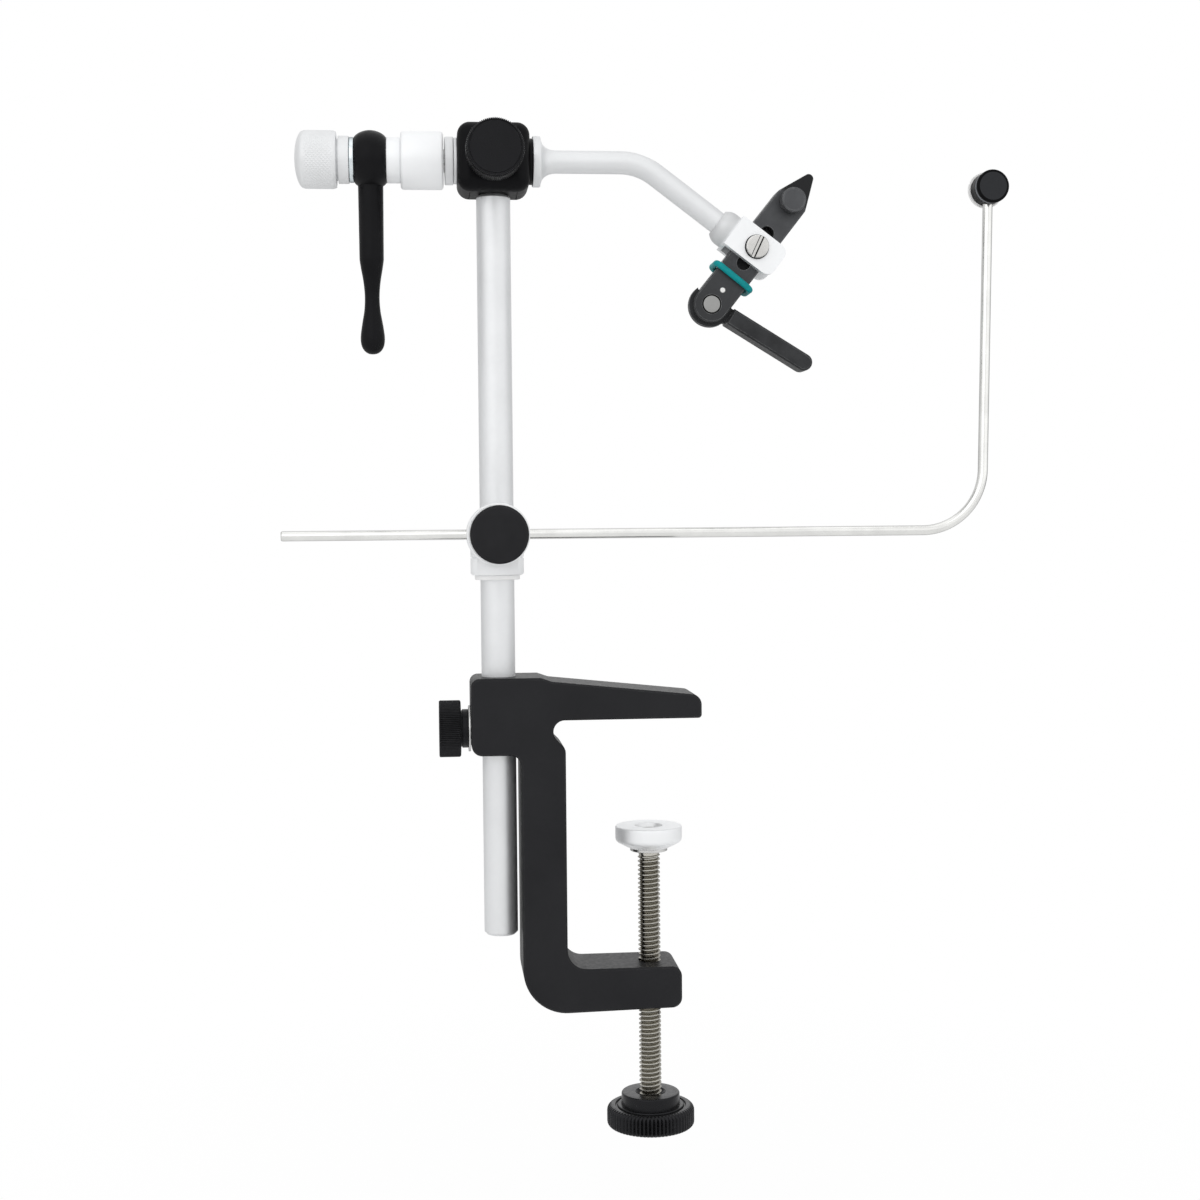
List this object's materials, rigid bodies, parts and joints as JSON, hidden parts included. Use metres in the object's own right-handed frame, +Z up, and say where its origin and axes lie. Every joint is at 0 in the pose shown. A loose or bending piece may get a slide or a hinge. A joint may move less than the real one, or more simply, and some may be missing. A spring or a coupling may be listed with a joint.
{
  "type": "fly tying vise",
  "caption": "Rotary fly tying vise: C-clamp base, round stem, swinging bobbin rest, braked spindle with crank, bent arm and cam-lever jaws that grip a hook.",
  "frame": {"origin": "where the clamp screw's axis meets the table face, the flat underside of the clamp's upper arm", "axes": "+Z up along the stem, +X from the stem towards the jaws along the spindle at rest, +Y away from the front knobs"},
  "size_m": [0.2044, 0.0331, 0.2838],
  "materials": {
    "black_coat": "satin black coat",
    "satin_aluminium": "satin, clear anodised",
    "stainless": "bright drawn",
    "black_oxide": "black oxide",
    "black_plastic": "satin black",
    "white_plastic": "natural white",
    "teal_rubber": "smooth"
  },
  "bodies": {
    "clamp": {"c_clamp_frame": "black_coat"},
    "clamp_pad": {"clamp_pad": "satin_aluminium"},
    "clamp_screw": {"clamp_screw": "stainless", "clamp_pad_washer": "stainless", "clamp_screw_knob": "black_plastic"},
    "stem_lock_shoe": {"stem_lock_shoe": "white_plastic"},
    "stem_lock": {"stem_lock_knob": "black_plastic", "stem_lock_screw": "stainless", "stem_lock_washer": "stainless"},
    "stem": {"stem": "satin_aluminium"},
    "cradle_bush": {"cradle_bush": "white_plastic"},
    "cradle_collar": {"cradle_collar": "satin_aluminium"},
    "cradle_shoe": {"cradle_shoe": "white_plastic"},
    "cradle_knob": {"cradle_knob": "black_plastic", "cradle_knob_screw": "stainless"},
    "cradle_rod": {"cradle_rod": "stainless", "rod_button": "black_plastic", "rod_button_washer": "white_plastic"},
    "head": {"rotary_housing": "black_coat", "stem_set_screw": "stainless", "spindle_bush_right": "black_plastic", "spindle_bush_left": "stainless"},
    "brake_shoe": {"brake_shoe": "white_plastic"},
    "brake_knob": {"brake_knob": "black_plastic", "brake_screw": "stainless"},
    "spindle": {"spindle": "stainless", "thrust_ring": "satin_aluminium", "lock_barrel": "satin_aluminium", "barrel_set_screw": "stainless", "crank_spacer": "satin_aluminium", "crank_handle": "black_plastic", "swing_arm": "satin_aluminium", "jaw_holder": "satin_aluminium"},
    "crank_washer": {"crank_washer": "stainless"},
    "end_knob": {"end_knob": "satin_aluminium"},
    "jaw_pivot_screw": {"jaw_pivot_screw": "stainless"},
    "jaws": {"front_jaw": "black_oxide", "jaw_ring": "teal_rubber", "cam_pin": "stainless", "stop_pin": "stainless"},
    "rear_jaw": {"rear_jaw": "black_oxide"},
    "jaw_thumbscrew": {"jaw_thumbscrew": "black_oxide"},
    "cam_lever": {"cam_lever": "black_oxide"}
  },
  "joints": [
    {"name": "clamp_pad_travel", "type": "slide", "parent": "clamp", "child": "clamp_pad", "axis": [0, 0, 1], "range_m": [-0.03048, 0.02413]},
    {"name": "clamp_screw_turn", "type": "hinge", "parent": "clamp_pad", "child": "clamp_screw", "pos_m": [0, 0, -0.0315], "axis": [0, 0, 1], "range_deg": [-8640, 6840]},
    {"name": "stem_lock_travel", "type": "slide", "parent": "clamp", "child": "stem_lock_shoe", "axis": [-1, 0, 0], "range_m": [0, 0.00079375]},
    {"name": "stem_lock_turn", "type": "hinge", "parent": "stem_lock_shoe", "child": "stem_lock", "pos_m": [-0.0593, 0, -0.0027], "axis": [-1, 0, 0], "range_deg": [0, 360]},
    {"name": "stem_height", "type": "slide", "parent": "clamp", "child": "stem", "axis": [0, 0, 1], "range_m": [-0.012, 0.045]},
    {"name": "cradle_height", "type": "slide", "parent": "stem", "child": "cradle_bush", "axis": [0, 0, 1], "range_m": [-0.013, 0.022]},
    {"name": "cradle_swing", "type": "hinge", "parent": "cradle_bush", "child": "cradle_collar", "pos_m": [-0.0424, 0, 0.05207], "axis": [0, 0, 1], "continuous": true},
    {"name": "cradle_knob_travel", "type": "slide", "parent": "cradle_collar", "child": "cradle_shoe", "axis": [0, -1, 0], "range_m": [0, 0.00079375]},
    {"name": "cradle_knob_turn", "type": "hinge", "parent": "cradle_shoe", "child": "cradle_knob", "pos_m": [-0.0424, -0.02, 0.05207], "axis": [0, -1, 0], "range_deg": [0, 360]},
    {"name": "rod_reach", "type": "slide", "parent": "cradle_collar", "child": "cradle_rod", "axis": [1, 0, 0], "range_m": [-0.02, 0.04]},
    {"name": "head_swivel", "type": "hinge", "parent": "stem", "child": "head", "pos_m": [-0.0424, 0, 0.1465], "axis": [0, 0, 1], "continuous": true},
    {"name": "brake_travel", "type": "slide", "parent": "head", "child": "brake_shoe", "axis": [0, -1, 0], "range_m": [0, 0.00079375]},
    {"name": "brake_turn", "type": "hinge", "parent": "brake_shoe", "child": "brake_knob", "pos_m": [-0.0424, -0.0205, 0.156], "axis": [0, -1, 0], "range_deg": [0, 360]},
    {"name": "spindle_turn", "type": "hinge", "parent": "head", "child": "spindle", "pos_m": [-0.0424, 0, 0.156], "axis": [1, 0, 0], "continuous": true},
    {"name": "end_knob_travel", "type": "slide", "parent": "spindle", "child": "crank_washer", "axis": [-1, 0, 0], "range_m": [0, 0.00127]},
    {"name": "end_knob_turn", "type": "hinge", "parent": "crank_washer", "child": "end_knob", "pos_m": [-0.0855, 0, 0.156], "axis": [-1, 0, 0], "range_deg": [0, 360]},
    {"name": "pivot_screw_turn", "type": "hinge", "parent": "spindle", "child": "jaw_pivot_screw", "pos_m": [0.03101, 0, 0.13181], "axis": [0, -1, 0], "range_deg": [-90, 90]},
    {"name": "jaw_tilt", "type": "hinge", "parent": "spindle", "child": "jaws", "pos_m": [0.03101, 0, 0.13181], "axis": [0, -1, 0], "range_deg": [-18, 20]},
    {"name": "rear_jaw_open", "type": "hinge", "parent": "jaws", "child": "rear_jaw", "pos_m": [0.04134, 0, 0.1448], "axis": [-0.7826, 0, 0.6225], "range_deg": [0, 1.5]},
    {"name": "thumbscrew_turn", "type": "hinge", "parent": "jaws", "child": "jaw_thumbscrew", "pos_m": [0.04134, 0, 0.1448], "axis": [0, -1, 0], "range_deg": [-180, 180]},
    {"name": "cam_lever_swing", "type": "hinge", "parent": "jaws", "child": "cam_lever", "pos_m": [0.01855, 0, 0.11615], "axis": [0, 1, 0], "range_deg": [0, 60]}
  ],
  "couplings": [
    {"joint": "clamp_screw_turn", "follows": "clamp_pad_travel", "rad_per_m": 4947.4},
    {"joint": "stem_lock_turn", "follows": "stem_lock_travel", "rad_per_m": 7915.8},
    {"joint": "cradle_knob_turn", "follows": "cradle_knob_travel", "rad_per_m": 7915.8},
    {"joint": "brake_turn", "follows": "brake_travel", "rad_per_m": 7915.8},
    {"joint": "end_knob_turn", "follows": "end_knob_travel", "rad_per_m": 4947.4},
    {"joint": "rear_jaw_open", "follows": "cam_lever_swing", "ratio": 0.025}
  ]
}
